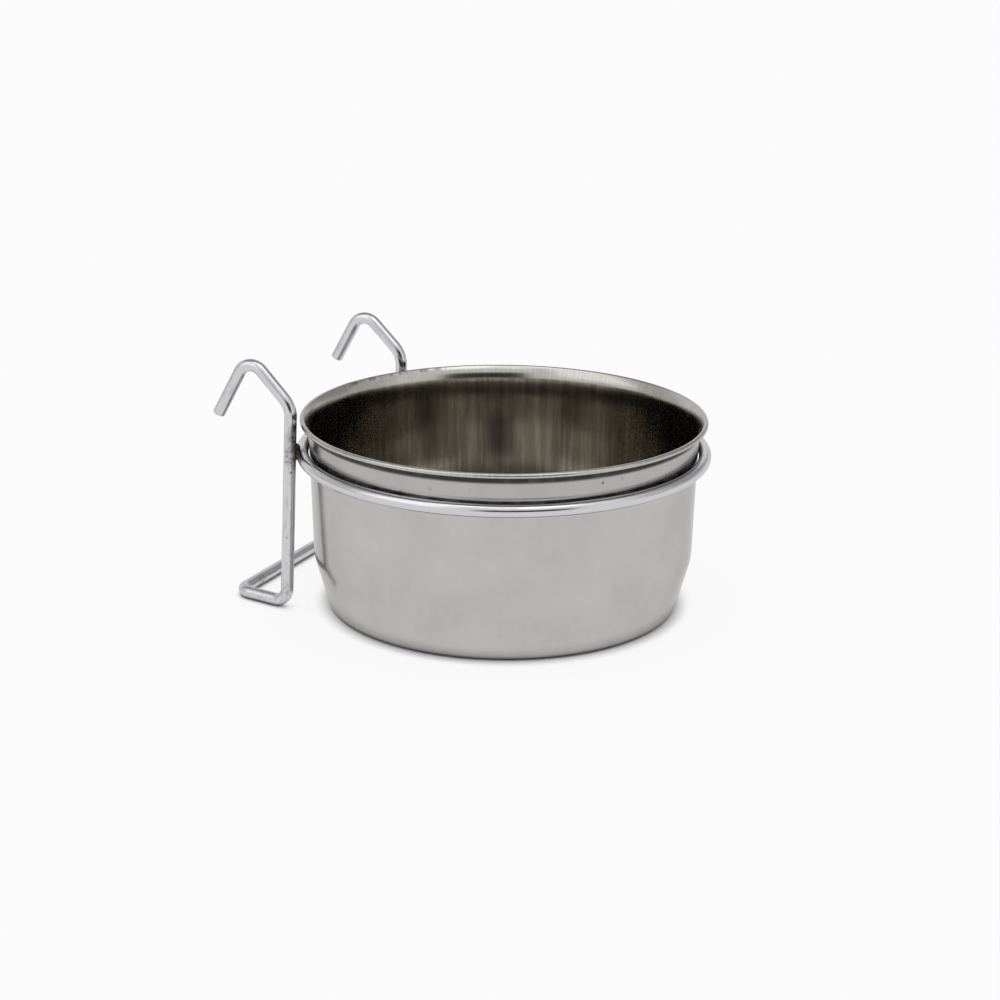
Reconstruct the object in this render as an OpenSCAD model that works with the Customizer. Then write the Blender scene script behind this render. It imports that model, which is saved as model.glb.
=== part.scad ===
// Seed cup: a drawn steel cup that drops into a wire ring, with two hooks that hang on a cage bar.
// Sizes are millimetres. The cup's base rests on z = 0, its axis is the Z axis, and the hooks point to +Y.

/* [Cup] */
// Outside diameter of the wall at the middle of the ring, where it starts to bell out
wall_d = 124; // [100:1:160]
// Height from the base to the top of the rim
cup_h = 62; // [52:1:90]
// Thickness of the drawn sheet
sheet_t = 0.6; // [0.4:0.05:0.8]
// How far the wall draws in on each side from the ring down to the knee
wall_draft = 1; // [0.6:0.1:4]
// Height of the knee, where the wall turns in to the foot
knee_h = 17.2; // [12:0.2:24]
// How far the foot draws in on each side from the knee down to the base
foot_draft = 4.6; // [2:0.1:9]
// Outside radius of the corner between the foot and the base
base_round = 2.8; // [2:0.1:5]
// Outside radius of the knee
knee_round = 16; // [6:0.5:24]

/* [Rim] */
// How much further the wall leans out between the ring and the lip, in degrees
bell_turn = 4.4; // [2:0.2:8]
// Height of the lip, the short flared part under the bead, up to the top of the rim
lip_h = 4; // [3.4:0.1:6]
// How much further the lip leans out before it runs into the bead, in degrees
lip_turn = 36; // [20:1:44]
// Width of the hollow in the bead that the rim is rolled into
bead_hollow = 0.45; // [0.4:0.05:1]
// How far round the bead is rolled, in degrees
bead_turn = 240; // [180:2:244]

/* [Ring] */
// Diameter of the wire of the ring and the hanger
wire_d = 4; // [3:0.1:5]
// Clearance between the cup's wall and the ring
ring_gap = 0.3; // [0.2:0.05:1]
// Depth of the top of the ring below the top of the rim
ring_depth = 9.5; // [8:0.1:16]

/* [Hanger] */
// Distance between the two legs where they meet the ring, axis to axis
hanger_w = 76.6; // [50:0.2:90]
// How much further apart the legs stand at their feet
foot_spread = 2.2; // [0:0.1:6]
// How much narrower the crossbar is than the feet
bar_inset = 6.2; // [0:0.1:10]
// Lean of the legs in towards the cup, in degrees
leg_lean = 1.6; // [0:0.1:2.6]
// How far the crossbar stands off the feet, axis to axis
spacer_l = 19.2; // [15:0.1:30]
// Height of the neck, where the leg bends into the hook, above the rim
neck_rise = 4.8; // [2:0.1:12]
// Inside radius of the neck bend
neck_round = 6; // [3:0.5:8]
// Rise of the hook from the neck to its top corner
hook_rise = 15.2; // [12:0.1:22]
// How much lower the hook on the +X side stands
hook_skew = 0.8; // [0:0.1:3]
// Reach of the hook from the neck to its top corner
hook_reach = 15; // [12:0.1:22]
// Inside radius of the hook's top bend
hook_round = 3; // [2:0.5:5]
// Drop of the hook's end below its top corner
tip_drop = 20.5; // [14:0.1:26]
// Reach of the hook's end beyond its top corner
tip_reach = 11.4; // [7:0.1:14]
// How much shorter the hook's end on the +X side is cut
tip_trim = 2.4; // [0:0.1:5]
// Inside radius of the bends at the feet and at the crossbar's corners
foot_round = 2.6; // [1.5:0.1:4]
// Width of the bevel at the wire's cut ends
tip_bevel = 0.4; // [0.2:0.1:0.8]

/* [Welds] */
// Diameter of each weld bead
weld_d = 4.8; // [4:0.1:6]
// Gap between the ring and a leg that the weld fills
weld_gap = 0.15; // [0.1:0.05:0.3]

/* [Hidden] */
$fn = 96;
// Facets round the ring, which the weld beads hug
ring_fn = 360;
// Largest turn between two points of an outline's bend, in degrees, and the fewest steps of a bend
arc_step = 15;
arc_least = 4;
// Hair of clearance between a weld bead and the wires that it holds
weld_fit = 0.03;
// How much fuller the wire is in a bend, and how far each straight run goes into it
bend_fit = 0.02;
run_entry = 0.25;
wire_r = wire_d / 2;
ring_z = cup_h - ring_depth - wire_r;
ring_r = wall_d / 2 + ring_gap + wire_r;
leg_r = ring_r + wire_d + weld_gap;
leg_y = sqrt(leg_r * leg_r - hanger_w * hanger_w / 4);
neck_z = cup_h + neck_rise;

// Points of a round bend where the runs a-p and p-b meet, in two dimensions, as [place, heading] pairs
function heading(a, b) = atan2(b.y - a.y, b.x - a.x);
function wrap(a) = a > 180 ? a - 360 : a < -180 ? a + 360 : a;
function round_corner(a, p, b, r) =
    let (from = heading(a, p), turn = wrap(heading(p, b) - from))
    let (reach = r * tan(abs(turn) / 2), side = sign(turn))
    let (start = p - reach * [cos(from), sin(from)])
    sweep_arc(start, from, turn, r, side);
function sweep_arc(start, from, turn, r, side) =
    let (steps = max(arc_least, ceil(abs(turn) / arc_step)), centre = start + side * r * [-sin(from), cos(from)])
    [for (i = [0:steps]) let (h = from + turn * i / steps) [centre + side * r * [sin(h), -cos(h)], h]];

// The cup's sheet, as a path up the middle of its thickness from the centre of the base to the rim
half_t = sheet_t / 2;
wall_mid_r = wall_d / 2 - half_t;
knee_mid_r = wall_mid_r - wall_draft;
base_mid_r = knee_mid_r - foot_draft;
cup_corners = [[0, half_t], [base_mid_r, half_t], [knee_mid_r, knee_h], [wall_mid_r, ring_z]];
cup_rounds = [0, base_round - half_t, knee_round - half_t];
// An arc that leaves start under the heading from, turns right by turn and climbs to the height z
function climbing_arc(start, from, turn, z) =
    sweep_arc(start, from, -turn, (z - start.y) / (cos(from - turn) - cos(from)), -1);
function end_of(path) = path[len(path) - 1];
// The wall bells out above the ring, and its lip leans out until it runs into the bead on top of the cup
wall_heading = heading(cup_corners[2], cup_corners[3]);
bell_path = climbing_arc(cup_corners[3], wall_heading, bell_turn, cup_h - lip_h);
lip_heading = wall_heading - bell_turn;
bead_roll_r = bead_hollow / 2 + half_t;
lip_end_z = cup_h - half_t - bead_roll_r * (1 - cos(lip_heading - lip_turn));
lip_path = climbing_arc(end_of(bell_path)[0], lip_heading, lip_turn, lip_end_z);
bead_path = sweep_arc(end_of(lip_path)[0], end_of(lip_path)[1], -bead_turn, bead_roll_r, -1);
function cup_bend(i) = round_corner(cup_corners[i - 1], cup_corners[i], cup_corners[i + 1], cup_rounds[i]);
cup_path = concat(
    [[cup_corners[0], 0]],
    [for (i = [1:len(cup_corners) - 2]) each cup_bend(i)],
    bell_path,
    [for (i = [1:len(lip_path) - 1]) lip_path[i]],
    [for (i = [1:len(bead_path) - 1]) bead_path[i]]
);
// The point at a distance to the right of the path: the outer skin is on its right, the inner on its left
function beside(station, distance) = station[0] + distance * [sin(station[1]), -cos(station[1])];

// One run of wire of radius r from a to b
module rod(a, b, r = wire_r) {
    d = b - a;
    translate(a)
        rotate([0, acos(d.z / norm(d)), atan2(d.y, d.x)])
            cylinder(r = r, h = norm(d));
}

// A run of wire from a to b whose cut end, at a, is bevelled
module tip_rod(a, b) {
    d = b - a;
    translate(a)
        rotate([0, acos(d.z / norm(d)), atan2(d.y, d.x)])
            rotate_extrude()
                polygon([[0, 0], [wire_r - tip_bevel, 0], [wire_r, tip_bevel], [wire_r, norm(d)], [0, norm(d)]]);
}

// One bend of wire: it leaves start in the direction along, and turns towards aside
module wire_bend(start, along, aside, turn, r) {
    up = cross(-aside, along);
    centre = start + r * aside;
    multmatrix([
        [-aside.x, along.x, up.x, centre.x],
        [-aside.y, along.y, up.y, centre.y],
        [-aside.z, along.z, up.z, centre.z],
        [0, 0, 0, 1]
    ])
        rotate_extrude(angle = turn) translate([r, 0]) circle(r = wire_r + bend_fit);
}

// Directions and bends of a wire that runs through the corners
function unit(v) = v / norm(v);
function run_dir(corners, i) = unit(corners[i + 1] - corners[i]);
function bend_turn(corners, i) = acos(run_dir(corners, i - 1) * run_dir(corners, i));
function bend_reach(corners, radii, i) = radii[i] * tan(bend_turn(corners, i) / 2);
function bend_aside(corners, i) =
    let (a = run_dir(corners, i - 1), b = run_dir(corners, i)) unit(b - (a * b) * a);

module bent_wire(corners, radii) {
    last = len(corners) - 1;
    // How far a straight run stays off each corner: not at all at the wire's two ends
    stops = [for (i = [0:last]) i == 0 || i == last ? 0 : bend_reach(corners, radii, i) - run_entry];
    starts = [for (i = [0:last - 1]) corners[i] + stops[i] * run_dir(corners, i)];
    ends = [for (i = [0:last - 1]) corners[i + 1] - stops[i + 1] * run_dir(corners, i)];
    tip_rod(starts[0], ends[0]);
    for (i = [1:last - 2]) rod(starts[i], ends[i]);
    tip_rod(ends[last - 1], starts[last - 1]);
    for (i = [1:last - 1])
        wire_bend(corners[i] - bend_reach(corners, radii, i) * run_dir(corners, i - 1),
            run_dir(corners, i - 1), bend_aside(corners, i), bend_turn(corners, i), radii[i]);
}

// Each leg meets the ring at leg_y, and leans in towards the cup and towards the other leg as it rises.
// side is -1 for the leg at -X and 1 for the leg at +X.
function leg_point(side, z) =
    let (spread = foot_spread * (ring_z - z) / (ring_z - wire_r))
    [side * (hanger_w + spread) / 2, leg_y + (ring_z - z) * tan(leg_lean), z];
// Corners of one side of the hanger from the crossbar up to the hook's end. The hook stands lower by sink,
// and its end is cut shorter by trim.
function side_corners(side, sink, trim) =
    let (foot = leg_point(side, wire_r), neck = leg_point(side, neck_z))
    let (hook = neck + [0, hook_reach, hook_rise - sink], end = [0, tip_reach, -tip_drop])
    [foot + [-side * bar_inset / 2, spacer_l, 0], foot, neck, hook, hook + end - trim * unit(end)];
side_rounds = [foot_round, foot_round, neck_round, hook_round, 0];
function reversed(list) = [for (i = [len(list) - 1:-1:0]) list[i]];

module cup() {
    color("silver")
        rotate_extrude()
            polygon(concat(
                [for (s = cup_path) beside(s, half_t)],
                reversed([for (s = cup_path) beside(s, -half_t)])
            ));
}

module ring() {
    color("gainsboro")
        translate([0, 0, ring_z])
            rotate_extrude($fn = ring_fn) translate([ring_r, 0]) circle(r = wire_r);
}

module hanger() {
    rounds = [for (r = side_rounds) r + wire_r];
    color("gainsboro")
        bent_wire(
            concat(reversed(side_corners(-1, 0, 0)), side_corners(1, hook_skew, tip_trim)),
            concat(reversed(rounds), rounds)
        );
}

// One bead of weld metal between the ring and a leg, where they pass each other
module weld(side) {
    leg = leg_point(side, ring_z);
    ring_spot = [leg.x, leg.y, 0] * ring_r / leg_r;
    difference() {
        translate([(leg.x + ring_spot.x) / 2, (leg.y + ring_spot.y) / 2, ring_z]) sphere(d = weld_d);
        translate([0, 0, ring_z])
            rotate_extrude($fn = ring_fn) translate([ring_r, 0]) circle(r = wire_r + weld_fit);
        rod(leg_point(side, wire_r), leg_point(side, neck_z), wire_r + weld_fit);
    }
}

module welds() {
    color("dimgray")
        for (side = [-1, 1]) weld(side);
}

cup();
ring();
hanger();
welds();
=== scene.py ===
import math
import bmesh
import bpy
from mathutils import Matrix, Vector, noise


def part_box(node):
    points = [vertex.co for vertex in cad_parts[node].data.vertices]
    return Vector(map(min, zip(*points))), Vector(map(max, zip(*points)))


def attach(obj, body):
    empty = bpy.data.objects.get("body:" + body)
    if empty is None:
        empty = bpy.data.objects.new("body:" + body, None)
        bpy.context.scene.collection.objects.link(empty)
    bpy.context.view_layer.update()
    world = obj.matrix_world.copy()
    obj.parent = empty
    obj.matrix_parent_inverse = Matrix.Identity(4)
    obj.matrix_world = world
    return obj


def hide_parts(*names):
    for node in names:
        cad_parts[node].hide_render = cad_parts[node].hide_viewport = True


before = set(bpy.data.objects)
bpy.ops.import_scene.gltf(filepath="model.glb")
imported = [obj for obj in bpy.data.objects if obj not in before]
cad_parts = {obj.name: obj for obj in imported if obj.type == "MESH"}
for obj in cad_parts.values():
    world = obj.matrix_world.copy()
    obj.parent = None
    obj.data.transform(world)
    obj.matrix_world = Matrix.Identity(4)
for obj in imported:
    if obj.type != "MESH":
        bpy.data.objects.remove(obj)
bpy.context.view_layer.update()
print("frame loaded:", ", ".join(sorted(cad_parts)))

mm = 0.001
fullTurn = 360  # degrees

# Sizes that the frame gives, in mm
ringLow, ringHigh = (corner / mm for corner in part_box("ring"))
wireRadius = (ringHigh.z - ringLow.z) / 2
ringHeight = (ringHigh.z + ringLow.z) / 2
ringRadius = ringHigh.x - wireRadius
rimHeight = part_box("cup")[1].z / mm


def addObject(name, data):
    added = bpy.data.objects.new(name, data)
    bpy.context.scene.collection.objects.link(added)
    return added


# Node trees: a Socket is one output, and Python's operators on it add Math nodes

class Socket:
    def __init__(self, graph, output):
        self.graph, self.output = graph, output

    def math(self, operation, *others):
        values = dict(enumerate((self,) + others))
        return self.graph.add("ShaderNodeMath", {"operation": operation}, values)

    def __add__(self, other):
        return self.math("ADD", other)

    def __sub__(self, other):
        return self.math("SUBTRACT", other)

    def __mul__(self, other):
        return self.math("MULTIPLY", other)

    def __truediv__(self, other):
        return self.math("DIVIDE", other)

    def __mod__(self, other):
        return self.math("MODULO", other)

    def __neg__(self):
        return self.math("MULTIPLY", -1)

    def __rsub__(self, other):
        return self.math("MULTIPLY_ADD", -1, other)

    def __rtruediv__(self, other):
        return self.math("POWER", -1) * other


class Graph:
    def __init__(self, tree):
        self.tree = tree

    # Settings are set before the sockets, because some of them choose which sockets there are
    def add(self, kind, settings=None, values=None, out=0):
        node = self.tree.nodes.new(kind)
        for name, value in (settings or {}).items():
            setattr(node, name, value)
        for name, value in (values or {}).items():
            self.fill(node.inputs[name], value)
        return Socket(self, node.outputs[out]) if len(node.outputs) else node

    def fill(self, socket, value):
        if isinstance(value, Socket):
            self.tree.links.new(value.output, socket)
        else:
            socket.default_value = value

    # 0 below low, 1 above high, and a smooth step between them
    def step(self, value, low, high):
        settings = {"interpolation_type": "SMOOTHSTEP"}
        return self.add("ShaderNodeMapRange", settings, {"Value": value, "From Min": low, "From Max": high})

    # 1 within half of middle, and a smooth step down to 0 over soft on both sides of that edge
    def band(self, value, middle, half, soft):
        return 1 - self.step((value - middle).math("ABSOLUTE"), half - soft, half + soft)

    # From low to high as value goes from 0 to 1
    def between(self, value, low, high):
        return value * (high - low) + low

    # From the first of the ends to the second as value goes over the contrast
    def vary(self, value, contrast, ends):
        return self.between(self.step(value, *contrast), *ends)

    # Share is how much of b there is
    def blend(self, a, b, share):
        return a * (1 - share) + b * share

    # The node's sockets for colours are its inputs 6 and 7 and its output 2
    def mixColour(self, factor, a, b):
        values = {"Factor": factor, 6: a, 7: b}
        return self.add("ShaderNodeMix", {"data_type": "RGBA"}, values, 2)

    def split(self, vector):
        node = self.add("ShaderNodeSeparateXYZ", {}, {0: vector}).output.node
        return [Socket(self, output) for output in node.outputs]

    def join(self, x, y, z):
        return self.add("ShaderNodeCombineXYZ", {}, {0: x, 1: y, 2: z})

    def distance(self, a, place):
        return self.add("ShaderNodeVectorMath", {"operation": "DISTANCE"}, {0: a, 1: place}, "Value")

    def noise(self, vector, scale, detail=2.0, roughness=0.5):
        values = {"Vector": vector, "Scale": scale, "Detail": detail, "Roughness": roughness}
        return self.add("ShaderNodeTexNoise", {}, values)

    # Noise by the size of its features in mm
    def grain(self, place, size, detail, roughness):
        return self.noise(place, 1 / (size * mm), detail, roughness)

    def rays(self, *names):
        node = self.add("ShaderNodeLightPath").output.node
        return [Socket(self, node.outputs[name]) for name in names]


def newMaterial(name):
    material = bpy.data.materials.new(name)
    material.use_nodes = True
    material.node_tree.nodes.clear()
    return material, Graph(material.node_tree)


def finishMaterial(graph, shader):
    graph.add("ShaderNodeOutputMaterial", {}, {"Surface": shader})


# Relief is in m
def finishMetal(graph, values, relief):
    bump = graph.add("ShaderNodeBump", {}, {"Strength": 1.0, "Distance": 1.0, "Height": relief})
    finishMaterial(graph, graph.add("ShaderNodeBsdfPrincipled", {}, {"Normal": bump, **values}))


# Geometry Nodes: a tree with named inputs, run once on a source mesh and turned into a plain mesh

pointFloat = {"data_type": "FLOAT", "domain": "POINT"}
pointVector = {"data_type": "FLOAT_VECTOR", "domain": "POINT"}
seamGap = 0.001  # mm, within which the points of a seam are merged
noiseMiddle = 0.5


def newTree(name, inputs):
    tree = bpy.data.node_groups.new(name, "GeometryNodeTree")
    tree.interface.new_socket("Geometry", in_out="INPUT", socket_type="NodeSocketGeometry")
    for label, kind in inputs:
        tree.interface.new_socket(label, in_out="INPUT", socket_type="NodeSocket" + kind)
    tree.interface.new_socket("Geometry", in_out="OUTPUT", socket_type="NodeSocketGeometry")
    graph = Graph(tree)
    node = tree.nodes.new("NodeGroupInput")
    return graph, {output.name: Socket(graph, output) for output in node.outputs if output.name}


def storeAttribute(graph, settings, geometry, name, value):
    values = {"Geometry": geometry, "Name": name, "Value": value}
    return graph.add("GeometryNodeStoreNamedAttribute", settings, values)


def readAttribute(graph, name):
    return graph.add("GeometryNodeInputNamedAttribute", {"data_type": "FLOAT"}, {"Name": name})


# Pushes the surface in and out along a direction, by up to the waviness
def addWaves(graph, given, geometry, place, direction):
    swell = (graph.noise(place, 1 / given["Wave Size"]) - noiseMiddle) / noiseMiddle
    values = {0: direction, "Scale": swell * given["Waviness"]}
    offset = graph.add("ShaderNodeVectorMath", {"operation": "SCALE"}, values)
    return graph.add("GeometryNodeSetPosition", {}, {"Geometry": geometry, "Offset": offset})


def finishTree(graph, geometry, material):
    smooth = graph.add("GeometryNodeSetShadeSmooth", {}, {"Geometry": geometry})
    real = graph.add("GeometryNodeRealizeInstances", {}, {"Geometry": smooth})
    painted = graph.add("GeometryNodeSetMaterial", {}, {"Geometry": real, "Material": material})
    graph.add("NodeGroupOutput", {}, {0: painted})
    return graph.tree


def runTree(name, tree, source, settings):
    holder = addObject(name + "Source", source)
    modifier = holder.modifiers.new("Shape", "NODES")
    modifier.node_group = tree
    inputs = [item for item in tree.interface.items_tree if item.in_out == "INPUT"]
    identifiers = {item.name: item.identifier for item in inputs}
    for label, value in settings.items():
        modifier[identifiers[label]] = value
    bpy.context.view_layer.update()
    depsgraph = bpy.context.evaluated_depsgraph_get()
    mesh = bpy.data.meshes.new_from_object(holder.evaluated_get(depsgraph), depsgraph=depsgraph)
    holder.modifiers.remove(modifier)
    bpy.data.objects.remove(holder)
    mesh.name = name
    return addObject(name, mesh)


def lineMesh(name, points, closed=False):
    mesh = bpy.data.meshes.new(name)
    edges = [(i, i + 1) for i in range(len(points) - 1)]
    if closed:
        edges.append((len(points) - 1, 0))
    mesh.from_pydata([Vector(p) * mm for p in points], edges, [])
    return mesh


# Spins the source line about Z; the line lies in the XZ plane, and its ends are on the axis
def spinTree():
    inputs = [("Segments", "Int"), ("Waviness", "Float"), ("Wave Size", "Float"), ("Material", "Material")]
    graph, given = newTree("Spun sheet", inputs)
    line = given["Geometry"]
    count = graph.add("GeometryNodeAttributeDomainSize", {"component": "MESH"}, {"Geometry": line})
    grid = graph.add("GeometryNodeMeshGrid", {}, {"Vertices X": given["Segments"] + 1, "Vertices Y": count})
    index = graph.add("GeometryNodeInputIndex")
    turn = (index / count).math("FLOOR") / given["Segments"] * math.tau
    place = graph.add("GeometryNodeInputPosition")

    def fromLine(settings, value):
        values = {"Geometry": line, "Value": value, "Index": index % count}
        return graph.add("GeometryNodeSampleIndex", settings, values)

    spinValues = {"Vector": fromLine(pointVector, place), "Angle": turn}
    spun = graph.add("ShaderNodeVectorRotate", {"rotation_type": "Z_AXIS"}, spinValues)
    sheet = graph.add("GeometryNodeSetPosition", {}, {"Geometry": grid, "Position": spun})
    side = fromLine(pointFloat, readAttribute(graph, "inside"))
    sided = storeAttribute(graph, pointFloat, sheet, "inside", side)
    closed = graph.add("GeometryNodeMergeByDistance", {}, {"Geometry": sided, "Distance": seamGap * mm})
    x, y, z = graph.split(place)
    outward = graph.add("ShaderNodeVectorMath", {"operation": "NORMALIZE"}, {0: graph.join(x, y, 0)})
    return finishTree(graph, addWaves(graph, given, closed, place, outward), given["Material"])


# Draws round wire along the source line; each corner is bent to the radius in its bend attribute
def wireTree():
    inputs = [("Wire Radius", "Float"), ("Sides", "Int"), ("Bend Steps", "Int"), ("Step", "Float"),
              ("Waviness", "Float"), ("Wave Size", "Float"), ("Material", "Material")]
    graph, given = newTree("Bent wire", inputs)
    line = graph.add("GeometryNodeMeshToCurve", {}, {"Mesh": given["Geometry"]})
    bendValues = {"Curve": line, "Count": given["Bend Steps"], "Radius": readAttribute(graph, "bend")}
    bent = graph.add("GeometryNodeFilletCurve", {"mode": "POLY"}, bendValues)
    stepValues = {"Curve": bent, "Length": given["Step"]}
    even = graph.add("GeometryNodeResampleCurve", {"mode": "LENGTH"}, stepValues)
    length = graph.add("GeometryNodeSplineParameter", {}, {}, "Length")
    marked = storeAttribute(graph, pointFloat, even, "along", length)
    circleValues = {"Resolution": given["Sides"], "Radius": given["Wire Radius"]}
    circle = graph.add("GeometryNodeCurvePrimitiveCircle", {}, circleValues)
    place = graph.add("GeometryNodeInputPosition")
    section = storeAttribute(graph, pointVector, circle, "around", place)
    tubeValues = {"Curve": marked, "Profile Curve": section, "Fill Caps": True}
    tube = graph.add("GeometryNodeCurveToMesh", {}, tubeValues)
    normal = graph.add("GeometryNodeInputNormal")
    return finishTree(graph, addWaves(graph, given, tube, place, normal), given["Material"])


# Camera

photoView = {
    "imageWidth": 1000,  # pixels
    "focalLength": 2325.3,  # pixels
    "sensor": 36,  # mm
    "distance": 750,  # mm, from the lens to the aim
    "turn": 65.275,  # degrees from +Y towards +X
    "tilt": 17.68,  # degrees down
    "roll": -0.604,  # degrees
    "aim": (-0.43, 0.93, 33.46),  # mm
    "clipEnd": 100,  # m
}


def addCamera():
    turn, tilt, roll = (math.radians(photoView[k]) for k in ("turn", "tilt", "roll"))
    forward = Vector((math.sin(turn) * math.cos(tilt), math.cos(turn) * math.cos(tilt), -math.sin(tilt)))
    right = Vector((math.cos(turn), -math.sin(turn), 0))
    up = right.cross(forward)
    rolledRight = math.cos(roll) * right - math.sin(roll) * up
    rolledUp = math.sin(roll) * right + math.cos(roll) * up
    place = (Vector(photoView["aim"]) - photoView["distance"] * forward) * mm
    data = bpy.data.cameras.new("photoCamera")
    data.sensor_width = photoView["sensor"]
    data.lens = photoView["focalLength"] * photoView["sensor"] / photoView["imageWidth"]
    data.clip_end = photoView["clipEnd"]
    camera = addObject("photoCamera", data)
    axes = Matrix((rolledRight, rolledUp, -forward)).transposed()
    camera.matrix_world = Matrix.Translation(place) @ axes.to_4x4()
    bpy.context.scene.camera = camera


addCamera()
print("camera placed")


# Materials: a grain is a noise's scale, detail and roughness, and a contrast is the span of values
# over which a look goes from one end to the other

# How near a point is to any of the marks, each with its place, reach and depth
def markMask(graph, place, marks):
    mask = None
    for mark in marks:
        apart = graph.distance(place, Vector(mark["at"]) * mm)
        near = (1 - graph.step(apart, *(reach * mm for reach in mark["reach"]))) * mark["depth"]
        mask = near if mask is None else mask.math("MAXIMUM", near)
    return mask


# 0 below the first depth under the rim, 1 above the second one, in mm
def nearRim(graph, height, depths):
    return graph.step(height, *(rimHeight - depth for depth in depths))


steelFinish = {
    "outside": ((0.47, 0.46, 0.445, 1), (0.52, 0.51, 0.495, 1)),
    "inside": ((0.40, 0.38, 0.34, 1), (0.58, 0.56, 0.51, 1)),
    "lipSheen": ((0.445, 0.43, 0.405, 1), (0.505, 0.49, 0.465, 1)),
    # Colour of the stains, and of the painted shade and painted dark reflections
    "stainAndPaintedShade": (0.05, 0.045, 0.04, 1),
    "edge": (0.75, 0.75, 0.75, 1),  # seen along the surface, drawn steel shines less than a plain metal does
    "roughness": (0.13, 0.22),
    "insideRoughness": (0.10, 0.14),
    "stainAndShadeRoughness": 0.2,  # what a full stain or full painted shade adds
    "lip": (4.6, 3.4),  # mm under the rim, where the inside turns into the polished lip
    "baseEdge": (50, 56),  # mm from the axis, where the plain base ends and the streaks are full
    "axisGap": 0.01,  # mm, keeps the streaks defined on the axis
    "streakDrift": 0.0008,  # how much the streaks change for each mm up the wall
    "streaks": (60, 3, 0.6),  # grain round the wall
    "streakRelief": 0.010,  # mm
    "clouds": (14, 3, 0.55),  # grain, its scale as a size in mm
    "contrast": (0.3, 0.7),
    "toneStreaks": 0.2,  # share of the streaks in the outside's tone, and the rest is clouds
    "polishStreaks": 0.5,  # share of the streaks in the roughness
    "wallStreaks": {"grain": (36, 4, 0.7), "contrast": (0.4, 0.6)},  # on the inside
    "baseContrast": (0, 1),
    "beadShade": (4.3, 3.1),  # mm under the rim, where the painted shade under the bead starts and is full
    # the outer wall a little darker from 9.5 to 7 mm under the rim up to the rim, by depth
    "bellDarkening": {"under": (9.5, 7.0), "depth": 0.12},
    "grooveShade": {"above": 0.4, "half": 1.3, "soft": 0.8, "depth": 0.25},  # painted shade in the groove behind the ring; mm, from the ring's middle
    "patches": {"grain": (12, 3, 0.6), "contrast": (0.25, 0.6), "ends": (0.92, 1.0)},  # patchiness of the painted shade under the bead and behind the ring
}

# Painted reflection: dark dashes along the top of the rim where it mirrors dark surroundings; degrees about
# Z, and mm under the rim
rimDarkReflections = {
    "at": 62,
    "reach": (19, 3),  # half, and how soft its ends are
    "under": 0.5,
    "height": (0.4, 0.15),  # half, and how soft its edges are
    "grain": (22, 3, 0.6),
    "contrast": (0.42, 0.6),
    "depth": 0.5,
}


def paintedCrestReflections(graph, marks, x, y, height):
    turn = y.math("ARCTAN2", x) * math.degrees(1)
    crest = graph.band(height, rimHeight - rimDarkReflections["under"], *rimDarkReflections["height"])
    crest = crest * graph.band(turn, rimDarkReflections["at"], *rimDarkReflections["reach"])
    return crest * graph.step(graph.noise(marks, *rimDarkReflections["grain"]), *rimDarkReflections["contrast"]) * rimDarkReflections["depth"]


# Painted shade: a patchy dark band under the bead and another in the groove behind the ring, and the top of
# the outer wall a little darker; none of it on the inside
def steelPaintedShade(graph, marks, height, side):
    bell, groove, patches = (steelFinish[name] for name in ("bellDarkening", "grooveShade", "patches"))
    paintedShade = nearRim(graph, height, steelFinish["beadShade"])
    shadeBehindRing = graph.band(height, ringHeight + groove["above"], groove["half"], groove["soft"])
    patchy = graph.vary(graph.noise(marks, *patches["grain"]), patches["contrast"], patches["ends"])
    patchyShade = paintedShade.math("MAXIMUM", shadeBehindRing * groove["depth"]) * patchy
    faint = nearRim(graph, height, bell["under"]) * bell["depth"]
    return patchyShade.math("MAXIMUM", faint) * (1 - side)


def drawnSteel(darkMarks):
    finish = steelFinish
    material, graph = newMaterial("drawnSteel")
    place = graph.add("ShaderNodeTexCoord", {}, {}, "Object")
    side = graph.add("ShaderNodeAttribute", {"attribute_name": "inside"}, {}, "Fac")
    x, y, z = graph.split(place)
    radius = (x * x + y * y).math("SQRT") + finish["axisGap"] * mm
    height = z / mm
    climb = (z + radius) / mm
    marks = graph.join(x / radius, y / radius, climb * finish["streakDrift"])
    streaks = graph.noise(marks, *finish["streaks"])
    clouds = graph.grain(place, *finish["clouds"])
    inside = side * (1 - nearRim(graph, height, finish["lip"]))
    tone = graph.step(graph.blend(clouds, streaks, finish["toneStreaks"]), *finish["contrast"])
    outer = graph.mixColour(tone, *finish["outside"])
    upright = graph.step(radius / mm, *finish["baseEdge"])
    wall = finish["wallStreaks"]
    wallTone = graph.step(graph.noise(marks, *wall["grain"]), *wall["contrast"])
    baseTone = graph.step(clouds, *finish["baseContrast"])
    inner = graph.mixColour(baseTone + upright * (wallTone - baseTone), *finish["inside"])
    flare = graph.mixColour(graph.step(streaks, *finish["contrast"]), *finish["lipSheen"])
    colour = graph.mixColour(inside, graph.mixColour(side, outer, flare), inner)
    # The painted shade under the bead and behind the ring and the painted dark reflections on the rim join
    # the stains in one dark mask
    stainAndPaintedShade = steelPaintedShade(graph, marks, height, side)
    stainAndPaintedShade = stainAndPaintedShade.math("MAXIMUM", paintedCrestReflections(graph, marks, x, y, height))
    stainAndPaintedShade = stainAndPaintedShade.math("MAXIMUM", markMask(graph, place, darkMarks))
    colour = graph.mixColour(stainAndPaintedShade, colour, finish["stainAndPaintedShade"])
    polish = graph.step(graph.blend(clouds, streaks, finish["polishStreaks"]), *finish["contrast"])
    outerRoughness = graph.between(polish, *finish["roughness"])
    innerRoughness = graph.between(polish, *finish["insideRoughness"])
    roughness = outerRoughness + inside * (innerRoughness - outerRoughness) + stainAndPaintedShade * finish["stainAndShadeRoughness"]
    relief = streaks * inside * upright * (finish["streakRelief"] * mm)
    values = {"Base Color": colour, "Metallic": 1.0, "Roughness": roughness, "Specular Tint": finish["edge"]}
    finishMetal(graph, values, relief)
    return material


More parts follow.
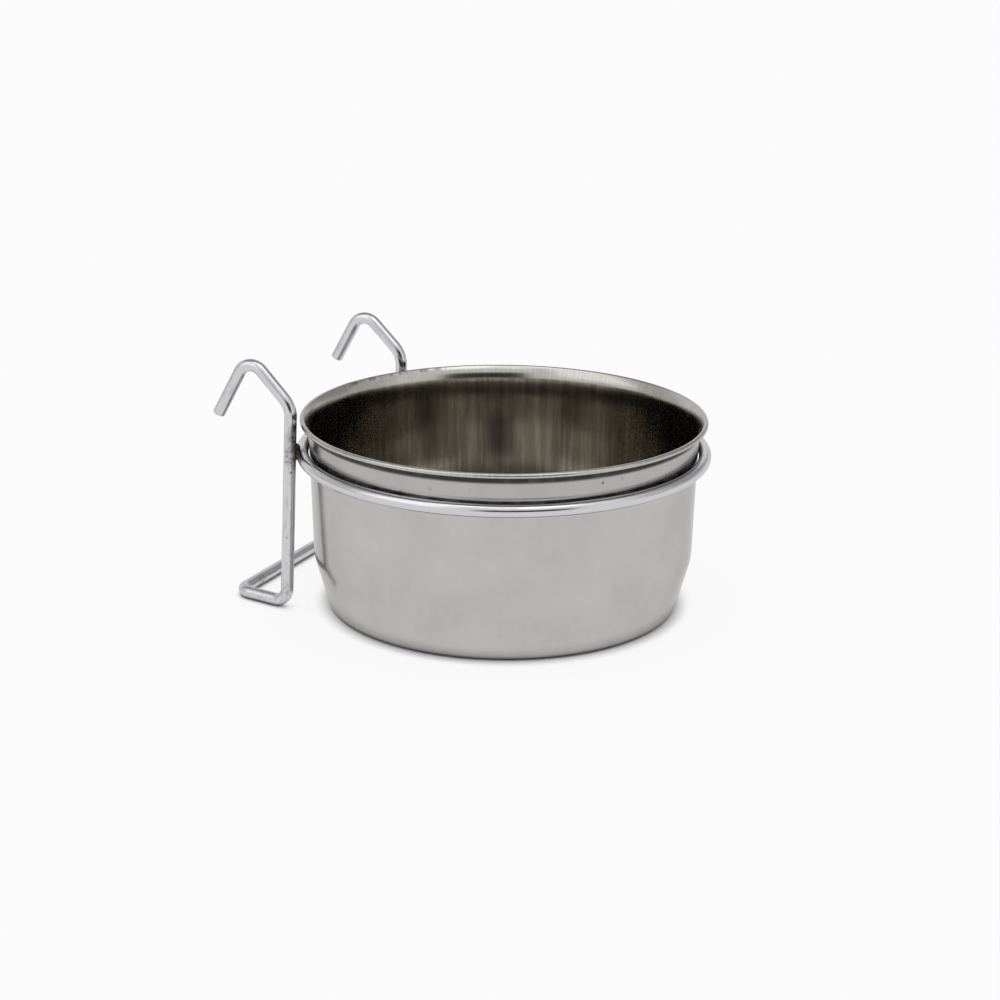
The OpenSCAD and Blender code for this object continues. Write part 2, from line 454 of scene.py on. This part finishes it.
wireFinish = {
    "bright": (0.62, 0.62, 0.64, 1),
    "dull": (0.49, 0.49, 0.50, 1),
    # Colour of the stains, and of the painted shade and reflections on the ring and the leg
    "stainAndPaintedShade": (0.06, 0.05, 0.045, 1),
    "edge": (0.8, 0.8, 0.8, 1),
    "roughness": (0.15, 0.21),
    "stainAndShadeRoughness": 0.2,  # what a full stain or full painted shade adds
    "spotRoughness": 0.18,  # what a rough spot adds
    "clouds": (150, 3, 0.6),  # grain, its scale for 1 m
    "cloudContrast": (0.35, 0.65),
    "streakLength": 14,  # mm, of the drawing marks along the wire
    "streaks": (2.4, 3, 0.6),
    "streakContrast": (0.3, 0.5),
    "ringStreaks": 0.15,  # share of the streaks that the ring shows
    "ringPast": ((0.3, 0.1), (0.1, 0.05)),  # mm past the ring's wire, upwards and outwards, and how soft
    "ringShade": (0.5, 1.3),  # painted shade on the ring's side against the cup: mm inwards from the ring's axis, where it starts and is full
    "ringShadePatches": {"contrast": (0.3, 0.6), "ends": (0.6, 1.0)},
    "specks": (0.9, 4, 0.65),  # grain, its scale as a size in mm
    "markPatches": {"contrast": (0.35, 0.6), "ends": (0.35, 1.0)},
    "flecks": {"contrast": (0.5, 0.62), "depth": 0.6},  # dark points in the rough spots
    "roughRelief": 0.05,  # mm
}


def chromedWire(darkMarks, roughSpots):
    finish = wireFinish
    material, graph = newMaterial("chromedWire")
    place = graph.add("ShaderNodeTexCoord", {}, {}, "Object")
    around = graph.add("ShaderNodeAttribute", {"attribute_name": "around"}, {}, "Vector")
    along = graph.add("ShaderNodeAttribute", {"attribute_name": "along"}, {}, "Fac")
    x, y, z = graph.split(place)
    across, beyond = graph.split(around)[:2]
    radius = (x * x + y * y).math("SQRT") / mm
    (upwards, upSoft), (outwards, outSoft) = finish["ringPast"]
    onRing = graph.band(z / mm, ringHeight, wireRadius + upwards, upSoft)
    onRing = onRing * graph.band(radius, ringRadius, wireRadius + outwards, outSoft)
    clouds = graph.noise(place, *finish["clouds"])
    specks = graph.grain(place, *finish["specks"])
    size = wireRadius * mm
    lengthwise = graph.join(across / size, beyond / size, along / (finish["streakLength"] * mm))
    streaks = graph.step(graph.noise(lengthwise, *finish["streaks"]), *finish["streakContrast"])
    tone = 1 - (1 - streaks) * graph.between(onRing, 1.0, finish["ringStreaks"])
    colour = graph.mixColour(tone, finish["dull"], finish["bright"])
    # Painted shade, made patchy, on the ring's inner side where it lies against the cup
    paintedShade = graph.step(ringRadius - radius, *finish["ringShade"]) * onRing
    paintedShade = paintedShade * graph.vary(clouds, **finish["ringShadePatches"])
    patchy = graph.vary(specks, **finish["markPatches"])
    stainAndPaintedShade = paintedShade.math("MAXIMUM", markMask(graph, place, darkMarks) * patchy)
    rough = markMask(graph, place, roughSpots)
    flecks = rough * rough * graph.step(specks, *finish["flecks"]["contrast"]) * finish["flecks"]["depth"]
    stainAndPaintedShade = stainAndPaintedShade.math("MAXIMUM", flecks)
    colour = graph.mixColour(stainAndPaintedShade, colour, finish["stainAndPaintedShade"])
    roughness = graph.vary(clouds, finish["cloudContrast"], finish["roughness"])
    roughness = roughness + stainAndPaintedShade * finish["stainAndShadeRoughness"] + rough * finish["spotRoughness"]
    values = {"Base Color": colour, "Metallic": 1.0, "Roughness": roughness, "Specular Tint": finish["edge"]}
    finishMetal(graph, values, specks * rough * (finish["roughRelief"] * mm))
    return material


weldFinish = {
    "dark": (0.016, 0.012, 0.009, 1),
    "light": (0.11, 0.085, 0.06, 1),
    "lumps": (0.7, 3, 0.6),  # grain, its scale as a size in mm
    "contrast": (0.35, 0.7),
    "relief": 0.15,  # mm
    "metallic": 0.6,
    "roughness": 0.5,
}


def scorchedWeld():
    finish = weldFinish
    material, graph = newMaterial("scorchedWeld")
    place = graph.add("ShaderNodeTexCoord", {}, {}, "Object")
    lumps = graph.grain(place, *finish["lumps"])
    colour = graph.mixColour(graph.step(lumps, *finish["contrast"]), finish["dark"], finish["light"])
    values = {"Base Color": colour, "Metallic": finish["metallic"], "Roughness": finish["roughness"]}
    finishMetal(graph, values, lumps * (finish["relief"] * mm))
    return material


# Cup: sizes are in mm where nothing else is said

cupSizes = {
    "wallDiameter": 124,  # outside, at the middle of the ring
    "sheet": 0.6,
    "wallDraft": 1.0,
    "kneeHeight": 17.2,
    "footDraft": 4.6,
    "baseRound": 2.8,
    "kneeRound": 16,
    "bellTurn": 4.4,  # degrees
    "lipHeight": 4,
    "lipTurn": 36,
    "beadHollow": 0.45,
    "beadTurn": 240,
    "segments": 288,
    "runStep": 2.0,
    "turnStep": 6,  # degrees
    "fewestSteps": 4,  # in a bend
    "waviness": 0.03,
    "waveSize": 25,
}


# Each station is a point of the sheet's middle line, with its heading
def arcStations(start, heading, turn, radius, side):
    steps = max(cupSizes["fewestSteps"], math.ceil(abs(turn) / cupSizes["turnStep"]))
    centre = start + side * radius * Vector((-math.sin(heading), math.cos(heading)))
    found = []
    for i in range(steps + 1):
        now = heading + math.radians(turn) * i / steps
        found.append((centre + side * radius * Vector((math.sin(now), -math.cos(now))), now))
    return found


def headingOf(a, b):
    return math.atan2(b.y - a.y, b.x - a.x)


def cornerStations(a, corner, b, radius):
    heading = headingOf(a, corner)
    turn = (headingOf(corner, b) - heading + math.pi) % math.tau - math.pi
    reach = radius * math.tan(abs(turn) / 2)
    start = corner - reach * Vector((math.cos(heading), math.sin(heading)))
    return arcStations(start, heading, math.degrees(turn), radius, math.copysign(1, turn))


# Adds stations along the straight runs, so that the shading stays true up to each bend
def fillRuns(stations):
    filled = [stations[0]]
    for station in stations[1:]:
        last = filled[-1][0]
        run = station[0] - last
        steps = max(1, math.ceil(run.length / cupSizes["runStep"]))
        filled += [(last + run * i / steps, headingOf(last, station[0])) for i in range(1, steps)]
        filled.append(station)
    return filled


# An arc that turns right by turn degrees and climbs to the height z
def climbingArc(station, turn, z):
    start, heading = station
    climb = math.cos(heading - math.radians(turn)) - math.cos(heading)
    return arcStations(start, heading, -turn, (z - start.y) / climb, -1)


# The cup's outline from the axis under the base, round the bead and back to the axis, and for each
# point whether it is on the inside
def cupProfile():
    s = cupSizes
    half = s["sheet"] / 2
    top = rimHeight
    wall = s["wallDiameter"] / 2 - half
    knee = wall - s["wallDraft"]
    corners = [
        Vector((0, half)),
        Vector((knee - s["footDraft"], half)),
        Vector((knee, s["kneeHeight"])),
        Vector((wall, ringHeight)),
    ]
    stations = [(corners[0], 0)]
    for i, outside in ((1, s["baseRound"]), (2, s["kneeRound"])):
        stations += cornerStations(corners[i - 1], corners[i], corners[i + 1], outside - half)
    bellStart = (corners[3], headingOf(corners[2], corners[3]))
    stations += climbingArc(bellStart, s["bellTurn"], top - s["lipHeight"])
    roll = s["beadHollow"] / 2 + half
    leaning = stations[-1][1] - math.radians(s["lipTurn"])
    stations += climbingArc(stations[-1], s["lipTurn"], top - half - roll * (1 - math.cos(leaning)))[1:]
    stations += arcStations(*stations[-1], -s["beadTurn"], roll, -1)[1:]
    stations = fillRuns(stations)
    outer = [p + half * Vector((math.sin(h), -math.cos(h))) for p, h in stations]
    inner = [p - half * Vector((math.sin(h), -math.cos(h))) for p, h in stations]
    points = [(max(p.x, 0), 0, p.y) for p in outer + inner[::-1]]
    return points, [0] * len(outer) + [1] * len(inner)


def addCup(steel):
    points, marks = cupProfile()
    line = lineMesh("cupLine", points)
    line.attributes.new("inside", "FLOAT", "POINT").data.foreach_set("value", marks)
    settings = {
        "Segments": cupSizes["segments"],
        "Waviness": cupSizes["waviness"] * mm,
        "Wave Size": cupSizes["waveSize"] * mm,
        "Material": steel,
    }
    return runTree("cupSheet", spinTree(), line, settings)


# Wire: sizes are in mm here too

wireSizes = {
    "hangerWidth": 76.6,  # between the legs at the ring, axis to axis
    "footSpread": 2.2,
    "barInset": 6.2,
    "legLean": 1.6,  # degrees
    "spacer": 19.2,
    "weldGap": 0.15,
    "neckRise": 4.8,  # above the rim
    "hookRise": 15.2,
    "hookSkew": 0.8,  # how much lower the hook at +X stands
    "hookReach": 15,
    "tipDrop": 20.5,
    "tipReach": 11.4,
    "tipTrim": 2.4,
    "rounds": (2.6, 2.6, 6, 3, 0),  # inside radii from the crossbar's corner up to the tip
    "sides": 40,
    "bendSteps": 24,
    "step": 0.5,
    "ringPoints": 360,
    "waviness": 0.012,
    "waveSize": 6,
    "tipRound": 0.4,
    "tipSteps": 3,
    "tipAngle": 60,  # degrees; edges that turn by more are the cut ends'
}

legRadius = ringRadius + 2 * wireRadius + wireSizes["weldGap"]
legY = math.sqrt(legRadius ** 2 - (wireSizes["hangerWidth"] / 2) ** 2)


# A place on the axis of the leg at -X or +X
def legPoint(side, height):
    w = wireSizes
    spread = w["footSpread"] * (ringHeight - height) / (ringHeight - wireRadius)
    lean = (ringHeight - height) * math.tan(math.radians(w["legLean"]))
    return Vector((side * (w["hangerWidth"] + spread) / 2, legY + lean, height))


# The hanger's corners on one side, from the crossbar to the tip of the hook: sink lowers the hook, and
# trim shortens its end
def sideCorners(side, sink, trim):
    w = wireSizes
    foot = legPoint(side, wireRadius)
    neck = legPoint(side, rimHeight + w["neckRise"])
    hook = neck + Vector((0, w["hookReach"], w["hookRise"] - sink))
    end = Vector((0, w["tipReach"], -w["tipDrop"]))
    bar = foot + Vector((-side * w["barInset"] / 2, w["spacer"], 0))
    return [bar, foot, neck, hook, hook + end - trim * end.normalized()]


def wireSettings(chrome):
    return {
        "Wire Radius": wireRadius * mm,
        "Sides": wireSizes["sides"],
        "Bend Steps": wireSizes["bendSteps"],
        "Step": wireSizes["step"] * mm,
        "Waviness": wireSizes["waviness"] * mm,
        "Wave Size": wireSizes["waveSize"] * mm,
        "Material": chrome,
    }


def addWire(name, tree, points, bends, closed, chrome):
    mesh = lineMesh(name + "Line", points, closed)
    bend = mesh.attributes.new("bend", "FLOAT", "POINT")
    bend.data.foreach_set("value", [b * mm for b in bends])
    return runTree(name, tree, mesh, wireSettings(chrome))


def addHanger(tree, chrome):
    points = sideCorners(-1, 0, 0)[::-1] + sideCorners(1, wireSizes["hookSkew"], wireSizes["tipTrim"])
    rounds = [r + wireRadius if r else 0 for r in wireSizes["rounds"]]
    hanger = addWire("hangerWire", tree, points, rounds[::-1] + rounds, False, chrome)
    bevel = hanger.modifiers.new("cutEnds", "BEVEL")
    bevel.width = wireSizes["tipRound"] * mm
    bevel.segments = wireSizes["tipSteps"]
    bevel.limit_method = "ANGLE"
    bevel.angle_limit = math.radians(wireSizes["tipAngle"])
    return hanger


def addRing(tree, chrome):
    count = wireSizes["ringPoints"]
    angles = [math.tau * i / count for i in range(count)]
    points = [(ringRadius * math.cos(a), ringRadius * math.sin(a), ringHeight) for a in angles]
    return addWire("ringWire", tree, points, [0] * count, True, chrome)


# Where a weld holds the ring to a leg, lifted above the middle of the ring
def weldPlace(side, lift):
    leg = legPoint(side, ringHeight)
    share = (1 + ringRadius / legRadius) / 2
    return Vector((leg.x * share, leg.y * share, ringHeight + lift))


weldSizes = {
    "reach": 1.3,  # mm, half its width
    "height": 2.8,  # mm, half its height
    "lift": 1.6,
    "lumps": 0.35,  # share of its size
    "lumpScale": 1.6,
    "lumpShift": 9,  # in the noise, so that the two welds differ
    "divisions": 5,
}


def addWelds(metal):
    sizes = weldSizes
    built = bmesh.new()
    for side in (-1, 1):
        middle = weldPlace(side, sizes["lift"])
        shift = Vector((sizes["lumpShift"] * side, 0, 0))
        made = bmesh.ops.create_icosphere(built, subdivisions=sizes["divisions"], radius=1)
        for vertex in made["verts"]:
            swell = 1 + sizes["lumps"] * noise.noise(vertex.co * sizes["lumpScale"] + shift)
            width = sizes["reach"] * swell
            shape = Vector((vertex.co.x * width, vertex.co.y * width, vertex.co.z * sizes["height"] * swell))
            vertex.co = (middle + shape) * mm
    mesh = bpy.data.meshes.new("weldBeads")
    built.to_mesh(mesh)
    built.free()
    mesh.materials.append(metal)
    mesh.shade_smooth()
    return addObject("weldBeads", mesh)


# Marks, in mm: reach is where a mark starts to fade and where it ends

# A place on a leg's surface: turn is in degrees round the leg, from -X towards -Y
def onLeg(side, height, turn):
    angle = math.radians(fullTurn / 2 + turn)
    return legPoint(side, height) + wireRadius * Vector((math.cos(angle), math.sin(angle), 0))


# A place on the outside of the cup's wall: turn is in degrees about Z, from +X
def onWall(height, turn):
    points, marks = cupProfile()
    baseReach = steelFinish["baseEdge"][0]
    wall = [p for p, mark in zip(points, marks) if not mark and p[0] > baseReach]
    radius = min(wall, key=lambda p: abs(p[2] - height))[0]
    angle = math.radians(turn)
    return Vector((radius * math.cos(angle), radius * math.sin(angle), height))


weldStains = [
    {"at": weldPlace(side, lift), "reach": (1.6, 4.6), "depth": 0.85}
    for side in (-1, 1)
    for lift in (-1, 3, 6.5)
]
# Weld scorch, stains and pits, with painted shade and reflections on the leg near the rim
wireStainsAndShade = weldStains + [
    {"at": onLeg(-1, 62.3, 124), "reach": (0.4, 1.6), "depth": 1.0},  # painted shade and reflection where the leg passes closest to the rim
    # Painted reflection: dark patches on the leg's side towards the cup, just under the rim, where it mirrors
    # the cup's shaded wall
    {"at": onLeg(-1, 59.5, 85), "reach": (1.0, 3.0), "depth": 0.97},
    {"at": onLeg(-1, 56.5, 85), "reach": (1.0, 3.2), "depth": 0.93},
    {"at": onLeg(-1, 52.6, -4), "reach": (0.2, 1.0), "depth": 0.8},
    {"at": onLeg(-1, 51.2, -2), "reach": (0.2, 0.9), "depth": 0.7},
    {"at": onLeg(-1, 49.4, -5), "reach": (0.2, 0.9), "depth": 0.8},
    {"at": onLeg(-1, 50.5, 44), "reach": (0.15, 0.5), "depth": 0.9},  # pits
    {"at": onLeg(-1, 45.9, 44), "reach": (0.15, 0.5), "depth": 0.9},
    {"at": onLeg(-1, 24.3, 13), "reach": (0.15, 0.55), "depth": 0.9},
]
barCorner = sideCorners(-1, 0, 0)[0]
roughSpots = [
    {"at": legPoint(-1, 5), "reach": (3, 8), "depth": 0.7},
    {"at": barCorner + Vector((11, -1.6, -0.6)), "reach": (1.6, 4), "depth": 1.0},
    {"at": barCorner + Vector((0, -8, 0)), "reach": (6, 14), "depth": 0.5},
    {"at": weldPlace(-1, 2), "reach": (3, 8), "depth": 0.6},
]
cupStains = [
    {"at": onWall(56.7, -127.1), "reach": (0.2, 0.8), "depth": 0.7},
    {"at": onWall(57.2, -120.9), "reach": (0.15, 0.6), "depth": 0.5},
    {"at": onWall(52.6, 175.1), "reach": (0.3, 1.1), "depth": 0.7},
    {"at": onWall(55.3, -175.7), "reach": (0.3, 1.6), "depth": 0.25},
    {"at": onWall(56.1, -164.4), "reach": (0.3, 1.4), "depth": 0.2},
]

steel = drawnSteel(cupStains)
chrome = chromedWire(wireStainsAndShade, roughSpots)
weldMetal = scorchedWeld()
cup = addCup(steel)
print("cup:", len(cup.data.polygons), "faces")
bentWire = wireTree()
hanger = addHanger(bentWire, chrome)
ring = addRing(bentWire, chrome)
welds = addWelds(weldMetal)
print("wire:", len(hanger.data.polygons) + len(ring.data.polygons), "faces")

for piece, body, node, slot in (
    (cup, "cup", "cup", "cup_steel"),
    (ring, "holder", "ring", "chromed_wire"),
    (hanger, "holder", "hanger", "chromed_wire"),
    (welds, "holder", "welds", "weld_metal"),
):
    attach(piece, body)
    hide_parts(node)


# Floor, world and lamps

studio = {
    "floorReach": 6.0,  # m
    "floorSink": 0.02,  # mm, keeps the floor apart from the underside of the base
    "fade": (0.1, 0.35),  # m from the cup's axis, where the floor turns to plain white
    "floorColour": (0.9, 0.9, 0.9, 1),
    "paperShare": 0.1,  # how much of the shown floor near the cup is lit by the lamps
    "contactReach": 0.0075,  # m
    "contactRamp": (0.1, 0.75),  # openness of the floor, from the dark contact to plain white
    "contactSamples": 4,
    "white": 0.97,
    "ambient": 1.0,
    "tent": 0.95,  # what the metal sees round the object
    "ceiling": 0.7,  # what it sees overhead
    "ceilingFrom": (50, 85),  # degrees up, where the tent turns into the ceiling
}


def addFloor():
    reach = studio["floorReach"]
    corners = [(-reach, -reach, 0), (reach, -reach, 0), (reach, reach, 0), (-reach, reach, 0)]
    mesh = bpy.data.meshes.new("floor")
    mesh.from_pydata(corners, [], [(0, 1, 2, 3)])
    material, graph = newMaterial("floorWhite")
    place = graph.add("ShaderNodeTexCoord", {}, {}, "Object")
    away = graph.step(graph.distance(place, (0, 0, 0)), *studio["fade"])
    paper = graph.add("ShaderNodeBsdfDiffuse", {}, {"Color": studio["floorColour"]})
    openSettings = {"samples": studio["contactSamples"]}
    openValues = {"Distance": studio["contactReach"]}
    openness = graph.add("ShaderNodeAmbientOcclusion", openSettings, openValues, "AO")
    contact = graph.step(openness, *studio["contactRamp"])
    shine = {"Color": (1, 1, 1, 1), "Strength": contact * studio["white"]}
    white = graph.add("ShaderNodeEmission", {}, shine)
    camera, glossy, through = graph.rays("Is Camera Ray", "Is Glossy Ray", "Is Transmission Ray")
    shown = camera.math("MAXIMUM", glossy).math("MAXIMUM", through)
    plain = graph.between(away, 1 - studio["paperShare"], 1.0)
    mixValues = {0: plain * shown, 1: paper, 2: white}
    finishMaterial(graph, graph.add("ShaderNodeMixShader", {}, mixValues))
    mesh.materials.append(material)
    floor = addObject("floor", mesh)
    floor.location.z = -studio["floorSink"] * mm


# Cards of light and dark round the object, as the metal sees them, in degrees: azimuth is from the
# camera's side towards its right, elevation is up, and both halves are from the middle to the edge
cards = {
    "backOverhead": {"at": (180, 60), "half": (75, 26), "soft": 8, "level": 0.35},
    "leftSide": {"at": (-105, 12), "half": (22, 26), "soft": 10, "level": 0.65},
    "rightSide": {"at": (105, 12), "half": (28, 26), "soft": 10, "level": 0.65},
    "leftBox": {"at": (-62, 50), "half": (26, 34), "soft": 10, "level": 1.45},
    "rightBox": {"at": (46, 66), "half": (30, 14), "soft": 6, "level": 1.45},
    "rightBack": {"at": (135, 40), "half": (26, 30), "soft": 10, "level": 0.4},
    "cameraGap": {"at": (12, 9), "half": (26, 20), "soft": 6, "level": 0.05},
}


def addWorld():
    world = bpy.data.worlds.new("studioWorld")
    world.use_nodes = True
    world.node_tree.nodes.clear()
    bpy.context.scene.world = world
    graph = Graph(world.node_tree)
    direction = graph.add("ShaderNodeTexCoord", {}, {}, "Generated")
    turnValues = {"Vector": direction, "Angle": math.radians(photoView["turn"])}
    turned = graph.add("ShaderNodeVectorRotate", {"rotation_type": "Z_AXIS"}, turnValues)
    x, y, z = graph.split(turned)
    azimuth = x.math("ARCTAN2", -y) * math.degrees(1)
    elevation = z.math("ARCSINE") * math.degrees(1)
    level = graph.vary(elevation, studio["ceilingFrom"], (studio["tent"], studio["ceiling"]))
    for card in cards.values():
        cardTurn, cardRise = card["at"]
        halfTurn, halfRise = card["half"]
        # From 0 to a full turn, with the card's middle at half a turn
        across = (azimuth - cardTurn + 1.5 * fullTurn) % fullTurn
        inside = graph.band(across, fullTurn / 2, halfTurn, card["soft"])
        inside = inside * graph.band(elevation, cardRise, halfRise, card["soft"])
        level = level + inside * (card["level"] - level)
    camera, glossy = graph.rays("Is Camera Ray", "Is Glossy Ray")
    strength = camera + glossy * level + (1 - camera) * (1 - glossy) * studio["ambient"]
    background = graph.add("ShaderNodeBackground", {}, {"Color": (1, 1, 1, 1), "Strength": strength})
    graph.add("ShaderNodeOutputWorld", {}, {"Surface": background})


lamps = {
    "overhead": {"place": (-0.1, -0.1, 0.75), "size": (0.5, 0.5), "power": 0.5},  # m and W
}


def addLamps():
    for name, lamp in lamps.items():
        data = bpy.data.lights.new(name, "AREA")
        data.shape = "RECTANGLE"
        data.size, data.size_y = lamp["size"]
        data.energy = lamp["power"]
        light = addObject(name, data)
        light.location = lamp["place"]
        light.rotation_euler = (-Vector(lamp["place"])).to_track_quat("-Z", "Y").to_euler()


addFloor()
addWorld()
addLamps()
bpy.context.scene.view_settings.view_transform = "Standard"
print("studio set")
